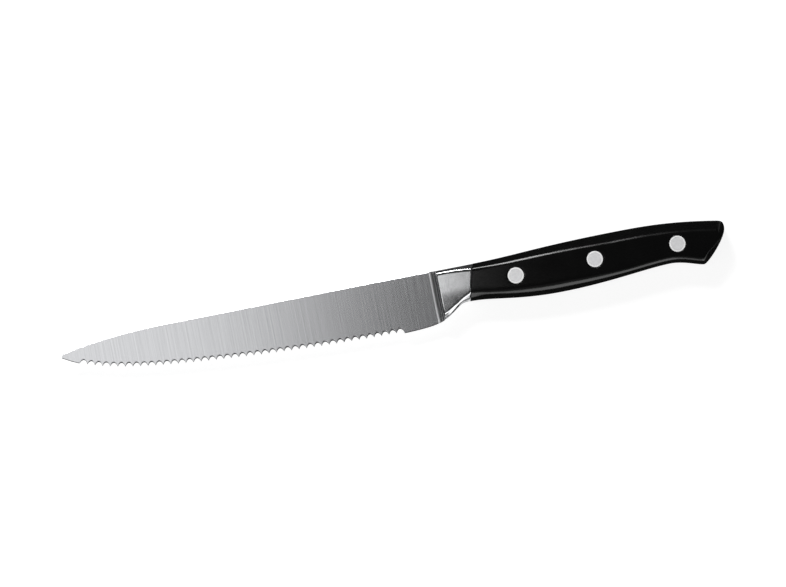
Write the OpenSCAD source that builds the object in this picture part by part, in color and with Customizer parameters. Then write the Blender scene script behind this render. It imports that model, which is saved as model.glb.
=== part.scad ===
// Tomato knife: one forged blade, bolster and tang, two riveted handle scales and three cutler's rivets.
// Millimetres. It lies on its right side: tip at -X, butt at +X, spine at +Y, edge at -Y.
// Pieces are drawn about the bolster's front at the spine, and move together to the final origin.

/* [Blade] */
// Length of the blade, from its tip to the front of the bolster
blade_l = 140; // [110:1:180]
// Depth of the plain heel edge below the spine
heel_h = 20.2; // [18:0.1:24]
// Depth of the tip below the spine
tip_h = 4.9; // [3.5:0.1:7]
// Rise of the cutting edge that is spread along the whole blade
belly_h = 9.3; // [6:0.1:11]
// Length over which the spine comes down to the tip
point_l = 42; // [25:1:60]
// Length of the rounded nose at the tip
nose_l = 1.8; // [1:0.1:3]
// Height of the rounded nose at the tip
nose_h = 1.1; // [0.8:0.1:2]
// Thickness of the spine at the bolster, and of the tang
spine_t = 2; // [1.6:0.1:3]
// Thickness of the spine at the tip
tip_t = 1.5; // [1:0.1:1.6]
// Thickness of the heel edge
edge_t = 0.5; // [0.3:0.1:1]

/* [Teeth] */
// Distance between the tips of neighbouring teeth
tooth_pitch = 2.78; // [2:0.02:4]
// Depth of each scallop on the flat side of the blade
tooth_h = 1.2; // [0.8:0.05:1.6]
// How much higher the tips of the teeth lie than the heel edge
tooth_lift = 0.7; // [0.3:0.1:0.9]
// Angle between the ground hollows and the side of the blade
grind_angle = 30; // [22:1:40]
// Length of the plain heel between the bolster and the first tooth
heel_l = 15.3; // [8:0.1:25]
// Length left without teeth at the tip
plain_tip_l = 5; // [3:0.5:15]

/* [Bolster] */
// Length of the bolster along the spine
bolster_l = 14; // [11:0.5:20]
// Thickness of the bolster at its front
bolster_t = 12.5; // [10:0.5:12.5]
// Lean of the joint between the bolster and the scales
joint_lean = 14; // [0:1:18]
// Depth of the neck, where the bolster meets the scales
neck_h = 13.4; // [12:0.1:15]
// Radius of the forged hollow between the blade and the bolster
root_r = 2.6; // [1.5:0.1:3.5]
// Radius along the front edge of the bolster
front_r = 0.5; // [0.2:0.1:0.8]
// Width of the rounded upper edge at the front of the bolster
front_round = 0.8; // [0.5:0.1:1.2]

/* [Handle] */
// Length of the bolster and the handle together
handle_l = 106.9; // [95:0.1:125]
// Thickness of the handle over both scales
handle_t = 13.5; // [12.5:0.5:18]
// Rise of the handle's crown above the spine
crown_h = 1.4; // [0.5:0.1:3]
// Depth of the palm swell below the spine
palm_h = 16.5; // [15:0.1:20]
// Depth of the waist in front of the hook
waist_h = 14.05; // [12.5:0.05:15]
// Depth of the hook at the butt
hook_h = 16.7; // [15.5:0.1:20]
// Distance from the hook to the end of the handle
hook_l = 9.7; // [7:0.1:12]
// Distance from the waist to the end of the handle
waist_l = 21.9; // [18:0.1:26]
// Width of the rounded upper edge at the joint
joint_round = 1.4; // [1:0.1:2.5]
// Width of the rounded upper edge at the crown
top_round = 3.2; // [2:0.1:4]
// Width of the rounded lower edge
low_round = 2; // [1.4:0.1:2.6]
// Width of the rounded edge around the butt
butt_round = 1.7; // [1:0.1:2.5]
// Width of the seam between the bolster and the scales
seam = 0.05; // [0.02:0.01:0.2]

/* [Rivets] */
// Diameter of the rivet heads
head_d = 6.2; // [5.4:0.1:8]
// Thickness of the rivet heads
head_t = 2.4; // [1.5:0.1:3.5]
// Bevel around the rivet heads
head_bevel = 0.3; // [0.1:0.05:0.5]
// Diameter of the sleeve that crosses the tang
sleeve_d = 4.4; // [3.8:0.1:5]
// Diameter of the post inside the sleeve
post_d = 3.2; // [2.4:0.1:3.4]
// Distance from the front of the bolster to the front rivet
front_rivet_l = 28.7; // [22:0.1:36]
// Distance from the rear rivet to the end of the handle
rear_rivet_l = 18; // [14:0.1:24]
// Depth of the front rivet below the spine
front_rivet_h = 7.3; // [6:0.1:9]
// Depth of the middle rivet below the spine
middle_rivet_h = 7.05; // [6:0.05:9]
// Depth of the rear rivet below the spine
rear_rivet_h = 7.4; // [6:0.1:9]
// Gap around the rivets in their holes
rivet_gap = 0.05; // [0.02:0.01:0.1]
// Gap left at the end of each post and sleeve
rivet_end_gap = 0.3; // [0.2:0.1:0.8]

/* [Hidden] */
$fn = 64;

STEEL = "silver";
SCALE = "#1c1c1c";
RIVET = "gainsboro";

// Half thicknesses, which the two sides share
half_t = handle_t / 2;
spine_half = spine_t / 2;
// How fast each side of the blade closes in, towards the tip and towards the edge
tip_slope = (spine_t - tip_t) / 2 / blade_l;
edge_slope = (spine_t - edge_t) / 2 / heel_h;

// The cutting edge rises slowly at first and sweeps up late, at these powers of the way to the tip
belly_power = 1.8;
sweep_power = 10;
// The spine comes down to the tip at this power of the way
point_power = 2.4;
// The nose is this much fuller or leaner than an ellipse, which has 1
nose_power = 1.4;
// Points along the edge, the spine's fall and the nose
edge_steps = 28;
point_steps = 10;
nose_steps = 4;
// The points along the edge draw together towards the tip at this power
edge_crowding = 1.5;

// The heel's straight edge starts this far in front of the bolster
heel_flat_l = 14;
// Share of the way from the neck to the heel where the underside is half down
choil_mid = 0.315;
// The bolster runs flush with the scales over this length, then thins towards the blade
flush_l = 1;
flush_x = bolster_l - flush_l;
nose_cut = (handle_t - bolster_t) / 2;
// How far the blade's root reaches into the bolster
blade_root_l = 4;
blade_root_h = neck_h - 1;

// Turning points of the handle's outline, where the crown and the palm lie at shares of its length
crown_at = 0.61;
palm_at = 0.42;
corner_l = 3.3;
corner_h = 1.7;
corner_slope = -0.18;
butt_h = 4.6;
JOINT = [bolster_l, 0];
CROWN = [crown_at * handle_l, crown_h];
CORNER = [handle_l - corner_l, -corner_h];
BUTT = [handle_l, -butt_h];
HOOK = [handle_l - hook_l, -hook_h];
WAIST = [handle_l - waist_l, -waist_h];
PALM = [palm_at * handle_l, -palm_h];
NECK = [bolster_l - neck_h * tan(joint_lean), -neck_h];

// Points along each run of the outline, as many above as below
bolster_steps = 8;
low_front_steps = 8;
low_middle_steps = 7;
low_rear_steps = 5;
handle_steps = low_front_steps + low_middle_steps + low_rear_steps;
butt_steps = 5;
// Heights at which the outline repeats, close together at the blade and at the flat sides
level_steps = 13;
// The rounded edges are this much deeper than wide
round_ratio = 1.25;

middle_rivet_at = 0.49;
middle_rivet_l = front_rivet_l
    + middle_rivet_at * (handle_l - rear_rivet_l - front_rivet_l);
FRONT = [front_rivet_l, -front_rivet_h];
MIDDLE = [middle_rivet_l, -middle_rivet_h];
REAR = [handle_l - rear_rivet_l, -rear_rivet_h];

// Longer than any piece, for cuts that pass right through
big = 2 * (blade_l + handle_l);

// Bezier curves: one leaves level and arrives at a slope, the other leaves at a slope and
// arrives upright. Shares a and b of the way are kept straight at the two ends.
function bezier(p, t) =
    pow(1 - t, 3) * p[0] + 3 * pow(1 - t, 2) * t * p[1]
    + 3 * (1 - t) * t * t * p[2] + pow(t, 3) * p[3];
function level_curve(p, q, a, b, slope = 0) =
    [p, p + [a * (q.x - p.x), 0], q - b * (q.x - p.x) * [1, slope], q];
function upright_curve(p, q, a, b, slope = 0) =
    [p, p + a * (q.x - p.x) * [1, slope], q - [0, b * (q.y - p.y)], q];
function run(curve, steps) = [for (i = [1:steps]) bezier(curve, i / steps)];
function back(list) = [for (i = [len(list) - 1:-1:0]) list[i]];

// Edge of the blade at x, for a given depth at the heel
function edge_y(x, depth) =
    let (s = max(0, (-x - heel_flat_l) / (blade_l - heel_flat_l)))
    -depth + belly_h * pow(s, belly_power) + (depth - tip_h - belly_h) * pow(s, sweep_power);
function spine_y(x) =
    -(tip_h - nose_h) * pow(max(0, (point_l - blade_l - x) / point_l), point_power);
// Underside of the bolster and the heel, a soft S from the neck down to the heel
function under_y(x) =
    let (u = pow((NECK.x - x) / (NECK.x + heel_flat_l), 3), c = pow(choil_mid, 3))
    -neck_h - (heel_h - neck_h) * (1 + c) * u / (u + c);
// Half thickness of the tapered blade at a point
function blade_half(x, y) = spine_half + tip_slope * x + edge_slope * y;

// Teeth, spaced evenly along the line through their tips
tooth_depth = heel_h - tooth_lift;
function tooth_angle(x) =
    let (d = tooth_pitch / 4)
    atan((edge_y(x + d, tooth_depth) - edge_y(x - d, tooth_depth)) / (2 * d));
function tooth_xs(x) =
    let (step = tooth_pitch * cos(tooth_angle(x)))
    x - step < plain_tip_l - blade_l ? [] : concat([x - step / 2], tooth_xs(x - step));
// A hollow of this radius, ground at the angle, leaves a scallop of the stated depth
scallop_rise = tooth_h * sin(grind_angle);
scallop_r = (pow(tooth_pitch / 2, 2) + pow(scallop_rise, 2)) / (2 * scallop_rise);
// Long enough to pass right through the blade at that angle
scallop_l = 8 * spine_t;

// How far the outline has turned in at height h, from 0 on the edge to 1 on the flat side
function turn(h, depth) =
    h <= half_t - depth ? 0
    : 1 - sqrt(max(0, 1 - pow((h - half_t + depth) / depth, 2)));
// Front of the bolster at height h: the forged hollow, the upright wall and the rounded edge
function front_x(h) =
    let (below = max(0, root_r - (h - spine_half)))
    front_r * turn(h, front_r) - root_r + sqrt(max(0, root_r * root_r - below * below));

// Outline of the bolster and the handle: [outer point, how far it moves in on the flat side]
top_front = level_curve(JOINT, CROWN, 0.32, 0.55);
top_rear = level_curve(CROWN, CORNER, 0.31, 0.43, corner_slope);
butt_top = upright_curve(CORNER, BUTT, 0.58, 0.59, corner_slope);
butt_low = back(upright_curve(HOOK, BUTT, 0.145, 0.31));
low_front = level_curve(NECK, PALM, 0.25, 0.5);
low_middle = level_curve(PALM, WAIST, 0.45, 0.22);
low_rear = level_curve(WAIST, HOOK, 0.41, 0.16);

function top_width(x) =
    joint_round + (top_round - joint_round)
    * sqrt(min(1, max(0, (x - JOINT.x) / (CROWN.x - JOINT.x))));
top_points = [
    for (p = concat(run(top_front, handle_steps / 2), run(top_rear, handle_steps / 2)))
    [p, [0, -top_width(p.x)]]
];
low_points = [
    for (p = concat(run(low_front, low_front_steps),
                    run(low_middle, low_middle_steps),
                    run(low_rear, low_rear_steps)))
    [p, [0, low_round]]
];
// Around the butt the rounded edge changes from its width above to its width below
butt_in = [
    for (a = [1:2 * butt_steps - 1])
    let (w = a / (2 * butt_steps))
    [-butt_round * sin(180 * w), low_round * w * w - top_round * (1 - w) * (1 - w)]
];
butt_out = concat(run(butt_top, butt_steps), run(butt_low, butt_steps));
butt_points = [for (i = [0:2 * butt_steps - 2]) [butt_out[i], butt_in[i]]];

// Bolster stations at height h, from its front to the flush line
function bolster_top(h) = [
    for (i = [0:bolster_steps])
    let (f = i / bolster_steps,
         width = front_round + (joint_round - front_round) * f,
         x = front_x(h) + (flush_x - front_x(h)) * f)
    [[x, 0], [-width * tan(joint_lean) * f, -width]]
];
function bolster_low(h) = [
    for (i = [0:bolster_steps])
    let (f = i / bolster_steps,
         x = front_x(h) + (NECK.x - flush_l - front_x(h)) * f)
    [[x, under_y(x)], [low_round * tan(joint_lean) * f, low_round]]
];
function stations(h) = concat(
    bolster_top(h), top_points, butt_points, back(low_points), back(bolster_low(h))
);
// Height of a point: the bolster thins towards its front, and its foot follows the tapered blade
function height(h, x, y) =
    let (ahead = (flush_x + y * tan(joint_lean) - x) / flush_x,
         g = min(1, max(0, ahead)),
         share = h / half_t)
    h - nose_cut * g * share * share + (1 - share) * edge_slope * y * g;
function ring(h, side) = [
    for (s = stations(h))
    let (p = s[0] + s[1] * turn(h, round_ratio * norm(s[1])))
    [p.x, p.y, side * height(h, p.x, p.y)]
];
levels = [
    for (k = [1:level_steps])
    spine_half + (half_t - spine_half) * (1 - cos(180 * k / level_steps)) / 2
];

// Moves the finished pieces so that the origin lies below the middle of the whole knife
module place() {
    translate([(blade_l - handle_l) / 2, (heel_h - crown_h) / 2, half_t])
        children();
}

// Bolster and handle as one form, which the steel and the scales share
module handle_form() {
    rings = concat(
        [for (k = [level_steps - 1:-1:0]) ring(levels[k], -1)],
        [for (k = [0:level_steps - 1]) ring(levels[k], 1)]
    );
    count = len(rings[0]);
    last = (len(rings) - 1) * count;
    run_end = bolster_steps + handle_steps;
    walls = [
        for (k = [0:len(rings) - 2]) for (i = [0:count - 1])
        let (j = (i + 1) % count)
        [k * count + i, k * count + j, (k + 1) * count + j, (k + 1) * count + i]
    ];
    upper = concat(
        [for (i = [0:run_end - 1])
            [last + i, last + i + 1, last + count - 2 - i, last + count - 1 - i]],
        [[for (i = [run_end:count - 1 - run_end]) last + i]]
    );
    lower = [for (face = upper) [for (i = [len(face) - 1:-1:0]) face[i] - last]];
    polyhedron([for (r = rings) for (p = r) p], concat(walls, upper, lower), convexity = 6);
}

// Space behind the joint on one side of the tang, moved back by a gap
module scale_space(gap) {
    translate([bolster_l, 0, spine_half])
        rotate([0, 0, -joint_lean])
            translate([gap, -big / 2, 0])
                cube([big, big, big]);
}

// Flat outline of the blade, with its edge before the teeth are ground
module blade_outline() {
    root_x = front_x(levels[0]);
    fall_l = point_l - nose_l;
    polygon(concat(
        [[blade_root_l, 0], [point_l - blade_l, 0]],
        [for (i = [1:point_steps])
            let (x = point_l - blade_l - fall_l * i / point_steps) [x, spine_y(x)]],
        [for (i = [1:nose_steps])
            let (a = 90 * i / nose_steps, top = spine_y(nose_l - blade_l) + tip_h)
            [nose_l - blade_l - nose_l * sin(a), top * pow(cos(a), nose_power) - tip_h]],
        [for (i = [1:edge_steps])
            let (f = i / edge_steps,
                 x = -heel_flat_l - (blade_l - heel_flat_l) * pow(1 - f, edge_crowding))
            [x, edge_y(x, heel_h)]],
        [for (i = [1:bolster_steps])
            let (x = -heel_flat_l + (root_x + heel_flat_l) * i / bolster_steps) [x, under_y(x)]],
        [[blade_root_l, -blade_root_h]]
    ));
}

// What is ground off one side of the blade
module side_waste() {
    translate([0, 0, spine_half])
        rotate([asin(edge_slope / sqrt(1 + pow(edge_slope, 2) + pow(tip_slope, 2))),
                -atan(tip_slope), 0])
            translate([-big, -big, 0])
                cube([2 * big, 2 * big, spine_t]);
}

// Hollows ground across the edge from the right side
module scallops() {
    for (x = tooth_xs(-heel_l)) {
        y = edge_y(x, tooth_depth);
        translate([x, y, blade_half(x, y)])
            rotate([0, 0, tooth_angle(x)])
                translate([0, tooth_h - scallop_r / sin(grind_angle), 0])
                    rotate([90 - grind_angle, 0, 0])
                        cylinder(h = scallop_l, r = scallop_r, center = true);
    }
}

module blade() {
    difference() {
        linear_extrude(height = spine_t, center = true)
            blade_outline();
        side_waste();
        mirror([0, 0, 1])
            side_waste();
        scallops();
    }
}

module rivet_hole(at, d) {
    translate([at.x, at.y, 0])
        cylinder(h = handle_t, d = d + 2 * rivet_gap, center = true);
}

// Blade, bolster and full tang, forged from one bar
module blade_forging() {
    color(STEEL)
    place() {
        blade();
        difference() {
            handle_form();
            scale_space(0);
            mirror([0, 0, 1])
                scale_space(0);
            for (at = [FRONT, MIDDLE, REAR])
                rivet_hole(at, sleeve_d);
        }
    }
}

// Handle scale on the left side, which faces up
module left_scale_form() {
    difference() {
        intersection() {
            handle_form();
            scale_space(seam);
        }
        for (at = [FRONT, MIDDLE, REAR]) {
            rivet_hole(at, sleeve_d);
            translate([at.x, at.y, half_t - head_t])
                cylinder(h = handle_t, d = head_d + 2 * rivet_gap);
        }
    }
}

module left_scale() {
    color(SCALE)
    place()
        left_scale_form();
}

module right_scale() {
    color(SCALE)
    place()
        mirror([0, 0, 1])
            left_scale_form();
}

// Flush rivet head, with its outer face at the given height
module rivet_head(face) {
    translate([0, 0, face - head_t])
        cylinder(h = head_t - head_bevel, d = head_d);
    translate([0, 0, face - head_bevel])
        cylinder(h = head_bevel, d1 = head_d, d2 = head_d - 2 * head_bevel);
}

// Upper half of a rivet, whose post is driven into the sleeve
module rivet_post(at) {
    reach = 2 * (half_t - head_t) - rivet_end_gap;
    color(RIVET)
    place()
        translate([at.x, at.y, 0]) {
            rivet_head(half_t);
            translate([0, 0, half_t - head_t - reach])
                cylinder(h = reach, d = post_d);
        }
}

// Lower half of a rivet, a sleeve that crosses the tang
module rivet_sleeve(at) {
    reach = 2 * (half_t - head_t) - rivet_end_gap;
    color(RIVET)
    place()
        translate([at.x, at.y, 0])
            mirror([0, 0, 1]) {
                rivet_head(half_t);
                translate([0, 0, half_t - head_t - reach])
                    difference() {
                        cylinder(h = reach, d = sleeve_d);
                        translate([0, 0, -1])
                            cylinder(h = reach + 1, d = post_d + 2 * rivet_gap);
                    }
            }
}

module front_rivet_post() { rivet_post(FRONT); }
module front_rivet_sleeve() { rivet_sleeve(FRONT); }
module middle_rivet_post() { rivet_post(MIDDLE); }
module middle_rivet_sleeve() { rivet_sleeve(MIDDLE); }
module rear_rivet_post() { rivet_post(REAR); }
module rear_rivet_sleeve() { rivet_sleeve(REAR); }

blade_forging();
left_scale();
right_scale();
front_rivet_post();
front_rivet_sleeve();
middle_rivet_post();
middle_rivet_sleeve();
rear_rivet_post();
rear_rivet_sleeve();
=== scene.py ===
import math

import bmesh
import bpy
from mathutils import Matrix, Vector


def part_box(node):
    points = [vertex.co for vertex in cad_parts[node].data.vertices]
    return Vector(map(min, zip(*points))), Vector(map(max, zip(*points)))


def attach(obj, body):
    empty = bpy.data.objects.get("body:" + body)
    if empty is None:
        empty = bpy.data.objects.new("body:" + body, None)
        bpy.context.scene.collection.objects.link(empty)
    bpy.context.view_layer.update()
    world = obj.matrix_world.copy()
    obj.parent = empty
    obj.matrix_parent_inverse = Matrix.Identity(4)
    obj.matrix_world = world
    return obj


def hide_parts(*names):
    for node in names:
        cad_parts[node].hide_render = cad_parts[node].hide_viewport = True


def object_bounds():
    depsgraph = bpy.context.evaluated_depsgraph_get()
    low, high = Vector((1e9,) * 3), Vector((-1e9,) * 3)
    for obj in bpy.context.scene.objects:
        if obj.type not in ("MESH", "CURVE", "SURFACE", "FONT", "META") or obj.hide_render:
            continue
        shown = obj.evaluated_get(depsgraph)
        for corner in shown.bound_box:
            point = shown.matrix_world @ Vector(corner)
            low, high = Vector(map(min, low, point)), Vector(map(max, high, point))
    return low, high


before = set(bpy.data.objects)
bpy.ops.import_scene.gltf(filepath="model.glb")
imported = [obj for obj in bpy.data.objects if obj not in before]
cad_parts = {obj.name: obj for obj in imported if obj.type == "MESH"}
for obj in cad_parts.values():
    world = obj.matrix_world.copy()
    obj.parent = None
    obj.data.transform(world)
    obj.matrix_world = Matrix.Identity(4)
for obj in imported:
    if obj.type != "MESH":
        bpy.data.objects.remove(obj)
cad_low, cad_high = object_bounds()

# Sizes in millimetres, as on a drawing. Lengths run along X and depths below the spine along -Y,
# from the bolster's front at the spine and the middle of the thickness.
MM = 0.001
HANDLE_L = 106.9
CROWN_H = 1.4
ORIGIN = Vector((cad_high.x / MM - HANDLE_L, cad_high.y / MM - CROWN_H,
                 (cad_low.z + cad_high.z) / 2 / MM))
BLADE_L = ORIGIN.x - cad_low.x / MM
HEEL_H = ORIGIN.y - cad_low.y / MM
HALF_T = (cad_high.z - cad_low.z) / 2 / MM

# Blade
SPINE_T = 2.0
TIP_T = 1.5
EDGE_T = 0.5
TIP_H = 4.9
BELLY_H = 9.3
BELLY_POWER = 1.8
SWEEP_POWER = 10
POINT_L = 42.0
POINT_POWER = 2.4
NOSE_L = 1.8
NOSE_H = 1.1
NOSE_POWER = 1.4
HEEL_FLAT_L = 14.0
SPINE_HALF = SPINE_T / 2
TIP_SLOPE = (SPINE_T - TIP_T) / 2 / BLADE_L
EDGE_SLOPE = (SPINE_T - EDGE_T) / 2 / HEEL_H
SPINE_RISE = 0.16
RISE_L = 26.0

# The blade's blank, its edges eased in steps from the side to the rim
SPINE_ROUND = 0.12
BACK_EASE = 0.02
EASING = ((1.0, 0.0), (0.35, 0.35), (0.0, 1.0))
BLANK_REACH = 4.0
BLANK_FOOT = 1.0
BLANK_ROOT = 2.0
BLANK_MID = 60.0

# Teeth
TOOTH_PITCH = 2.78
TOOTH_H = 1.36
TOOTH_LIFT = 0.54
TOOTH_DEPTH = HEEL_H - TOOTH_LIFT
HEEL_L = 15.3
PLAIN_TIP_L = 5.0
GRIND_ANGLE = math.radians(30)
GRIND_BACK = 0.15
BEVEL_W = 0.36
BEVEL_ANGLE = math.radians(12)
BEVEL_H = BEVEL_W * math.tan(BEVEL_ANGLE)
ROD_MORE = 6.0

# Bolster
BOLSTER_L = 14.0
LEAN = math.tan(math.radians(14))
JOINT_WAY = Vector((1, -LEAN, 0)).normalized()
NECK_H = 13.4
NECK_X = BOLSTER_L - NECK_H * LEAN
ROOT_R = 3.2
ROOT_TILT = math.radians(14)
ROOT_L = ROOT_R * (1 - math.sin(ROOT_TILT))
ROOT_H = ROOT_R * math.cos(ROOT_TILT)
GROUND_SHARE = 0.97
HOLLOW_FINISH = 0.5
CHOIL_MID = 0.315

# Handle outline
PALM_H = 16.5
PALM_AT = 0.42
WAIST_H = 14.05
WAIST_L = 21.9
HOOK_H = 16.7
HOOK_L = 9.7
CROWN_AT = 0.61
CORNER_L = 3.3
CORNER_H = 1.7
CORNER_SLOPE = -0.18
BUTT_H = 4.6
JOINT = Vector((BOLSTER_L, 0.0))
CROWN = Vector((CROWN_AT * HANDLE_L, CROWN_H))
CORNER = Vector((HANDLE_L - CORNER_L, -CORNER_H))
BUTT = Vector((HANDLE_L, -BUTT_H))
HOOK = Vector((HANDLE_L - HOOK_L, -HOOK_H))
WAIST = Vector((HANDLE_L - WAIST_L, -WAIST_H))
PALM = Vector((PALM_AT * HANDLE_L, -PALM_H))
NECK = Vector((NECK_X, -NECK_H))

# How far each outline curve keeps its direction at its start and end, as shares of its reach
JOINT_TO_CROWN = (0.32, 0.55)
CROWN_TO_CORNER = (0.31, 0.43)
CORNER_TO_BUTT = (0.8, 0.76)
HOOK_TO_BUTT = (0.145, 0.31)
NECK_TO_PALM = (0.25, 0.5)
PALM_TO_WAIST = (0.45, 0.22)
WAIST_TO_HOOK = (0.41, 0.16)

# Chamfered edges, each with a small round outside it and a wide curve inside it
CHAMFER = math.radians(38)
EDGE_R = 0.25
FRONT_R = 0.8
HEEL_R = 1.1
HEEL_POWER = 6
TOP_BEND = math.radians(10)
LOW_BEND = math.radians(27)

# Flat bands between the chamfer and the curve
BAND_MIN = 0.03
TOP_BAND = 0.7
TOP_BAND_TO = 28.0
LOW_BAND = 1.2
LOW_BAND_MID = 0.1
LOW_BAND_FRONT = 1.25
LOW_BAND_TO = 18.0
BAND_DIP = 0.55
BAND_POWER = 1.5

# Widths of the whole edge, of its curve and of its chamfer
FRONT_WIDTH = 1.95
JOINT_WIDTH = 2.85
HANDLE_WIDTH = 3.0
CROWN_WIDTH = 4.6
REAR_WIDTH = 4.35
BUTT_WIDTH = 2.4
FRONT_CURVE = 0.3
JOINT_CURVE = 0.55
TOP_CURVE = 1.6
RIM_CURVE = 0.8
RIM_POWER = 3
LOW_CURVE = 2.15
PALM_CURVE = 3.4
BUTT_CURVE = 0.1
FRONT_CHAMFER = 0.4
NECK_CHAMFER = 0.8
LOW_CHAMFER = 1.4
REAR_CHAMFER = 1.05
PALM_FROM = 34.0
PALM_TO = 48.0
REAR_FROM = 70.0
SLOPE_STEP = 0.01

# Sides: they lean in towards the bolster's front, and roll off towards its lower edge
SWELL = 0.3
SWELL_L = 30.0
NOSE_CURVE = 0.0005
BULGE_FROM = 7.5
BULGE_R = 70.0
BULGE_FADE = 10.0
FULL_H = 4.3
WALL_SHARE = 0.92
UNDER_SPINE = 0.01

# Joint between the bolster and the scales, where the bolster's rim is drawn in by two lines
SEAM = 0.16
SOFT = 0.28
SOFT_NEAR = 0.35
SOFT_DEPTH = 0.6
SOFT_NEAR_SHARE = 0.3
SOFT_CLEAR = 1.3
ACROSS_JOINT = 0.9

# Rivets
RIVETS = ("front", "middle", "rear")
HEAD_T = 2.4
HEAD_D = 6.2
SLEEVE_D = 4.4
POST_D = 3.2
SHAFT_GAP = 0.3
GAP = 0.05
LIP = 0.1
HEAD_BEVEL = 0.2
BEVEL_DEEP = 1.2
EASE_W = 0.03
EASE_H = 0.02
RING_W = 0.5
GROOVE_W = 0.14
GROOVE_DEPTH = 0.1
FACE_RINGS = (0.6, 0.3)
CUT_MORE = 1.0
HOLE_REACH = 2.0

# Mesh density. The lower runs add up to the two upper ones, so that the stations pair up.
BOLSTER_STEPS = 18
RUN_STEPS = 44
LOW_RUNS = (35, 30, 2 * RUN_STEPS - 35 - 30)
BUTT_STEPS = 16
HOOK_STEPS = 5
FILLET_STEPS = 16
UPPER_STEPS = 3
WALL_STEPS = FILLET_STEPS + UPPER_STEPS + 1
OUTER_STEPS = 3
OVER_STEPS = 6
UNDER_STEPS = 5
INNER_STEPS = OVER_STEPS + UNDER_STEPS + 1
ROUND_STEPS = OUTER_STEPS + INNER_STEPS + 1
ACROSS = 16
POINT_STEPS = 24
NOSE_STEPS = 8
NOSE_EASED = 2
BELLY_STEPS = 60
BELLY_CROWD = 1.5
HEEL_STEPS = 12
LIP_STEPS = 6
HOLE_STEPS = 72
RIVET_STEPS = 96
ROD_STEPS = 96

# Limits of the mesh work, in metres, faces and degrees
WELD = 1e-7
PLANE_WELD = 1e-8
ON_LINE = 2e-7
JOINT_SLACK = 1e-6
SPECK_FACES = 10
NORMAL_WEIGHT = 90
FORGING_CREASE = 24
SCALE_CREASE = 35
RIVET_CREASE = 20

# Materials of the forging and of a rivet, in the order of their lists
GROUND, POLISHED, TANG, HOLLOW = range(4)
# The rivet's ring takes a near-white painted highlight, which stands in for the light caught by its
# rim.
FACE, PAINTED_HIGHLIGHT_RING, BARREL = range(3)
UV_SCALE = 10
UV_RISE = 4
NOISE_LOW = 0.3
NOISE_HIGH = 0.7

# Camera, in pixels and millimetres, and stage, in metres
PICTURE_W = 786
PX_MM = 0.3659
ROLL = math.radians(-11.2)
CENTRE = (-0.05, 4.32)
LENS = 600.0
SENSOR = 36.0
CLIP_END = 100.0
FLOOR_R = 40.0
FLOOR_STEPS = 96
FLOOR_DROP = 0.00005
FLOOR_ALBEDO = 0.4
GLOW_NEAR = 0.84
GLOW_FAR = 0.88
GLOW_FROM = 0.3
GLOW_TO = 1.2
COVE_TOP = 0.01
DARK_FROM = 0.045
COVE_WHITE = (1, 1, 1, 1)
STUDIO_DARK = (0.035, 0.035, 0.036, 1)


def clamp(value):
    return min(1.0, max(0.0, value))


def mix(a, b, share):
    return a + (b - a) * share


def ramp(x, start, end):
    return clamp((x - start) / (end - start))


def placed(point):
    """A point of the drawing in the model's frame, in metres."""
    return (Vector(point) + ORIGIN) * MM


# Outline curves

def bezier(curve, t):
    a, b, c, d = curve
    s = 1 - t
    return a * s ** 3 + b * 3 * s * s * t + c * 3 * s * t * t + d * t ** 3


def level_curve(p, q, a, b, slope=0.0):
    """Leaves level and arrives at a slope."""
    reach = q.x - p.x
    return p, p + Vector((a * reach, 0)), q - b * reach * Vector((1, slope)), q


def upright_curve(p, q, a, b, slope=0.0):
    """Leaves at a slope and arrives upright."""
    reach = q.x - p.x
    return p, p + a * reach * Vector((1, slope)), q - Vector((0, b * (q.y - p.y))), q


def run(curve, steps):
    """Points along a curve, without its start."""
    return [bezier(curve, i / steps) for i in range(1, steps + 1)]


def edge_y(x, depth):
    """The blade's edge, for a depth below the spine at the heel."""
    s = max(0.0, (-x - HEEL_FLAT_L) / (BLADE_L - HEEL_FLAT_L))
    return -depth + BELLY_H * s ** BELLY_POWER + (depth - TIP_H - BELLY_H) * s ** SWEEP_POWER


def spine_y(x):
    """The blade's spine, which rises a little and then falls to the nose."""
    rise = SPINE_RISE * ramp(-x, ROOT_R, RISE_L) * ramp(x + BLADE_L, NOSE_L, 4 * NOSE_L)
    return rise - (TIP_H - NOSE_H) * max(0.0, (POINT_L - BLADE_L - x) / POINT_L) ** POINT_POWER


def under_y(x):
    """Underside of the bolster and the heel, a soft S from the neck down."""
    u = max(0.0, (NECK_X - x) / (NECK_X + HEEL_FLAT_L)) ** 3
    c = CHOIL_MID ** 3
    return -NECK_H - (HEEL_H - NECK_H) * (1 + c) * u / (u + c)


def blade_half(x, y):
    """Half the blade's thickness, which tapers to the tip and to the edge."""
    return SPINE_HALF + TIP_SLOPE * x + EDGE_SLOPE * y


# Mesh helpers

def piece(name, mesh_code, materials=(), nodes=()):
    """An object from a filled bmesh, riding on the knife if it stands for CAD nodes."""
    mesh = bpy.data.meshes.new(name)
    mesh_code.normal_update()
    mesh_code.to_mesh(mesh)
    mesh_code.free()
    thing = bpy.data.objects.new(name, mesh)
    bpy.context.scene.collection.objects.link(thing)
    for material in materials:
        mesh.materials.append(material)
    if nodes:
        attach(thing, "root")
        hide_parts(*nodes)
    return thing


def boolean(thing, tools, operation):
    """Applies each cutter to the piece in turn and deletes it."""
    for tool in tools:
        change = thing.modifiers.new("cut", "BOOLEAN")
        change.operation = operation
        change.solver = "MANIFOLD"
        change.object = tool
    bpy.context.view_layer.update()
    graph = bpy.context.evaluated_depsgraph_get()
    made = bpy.data.meshes.new_from_object(thing.evaluated_get(graph), depsgraph=graph)
    thing.modifiers.clear()
    old = thing.data
    thing.data = made
    bpy.data.meshes.remove(old)
    made.name = thing.name
    for tool in tools:
        bpy.data.objects.remove(tool, do_unlink=True)


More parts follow.
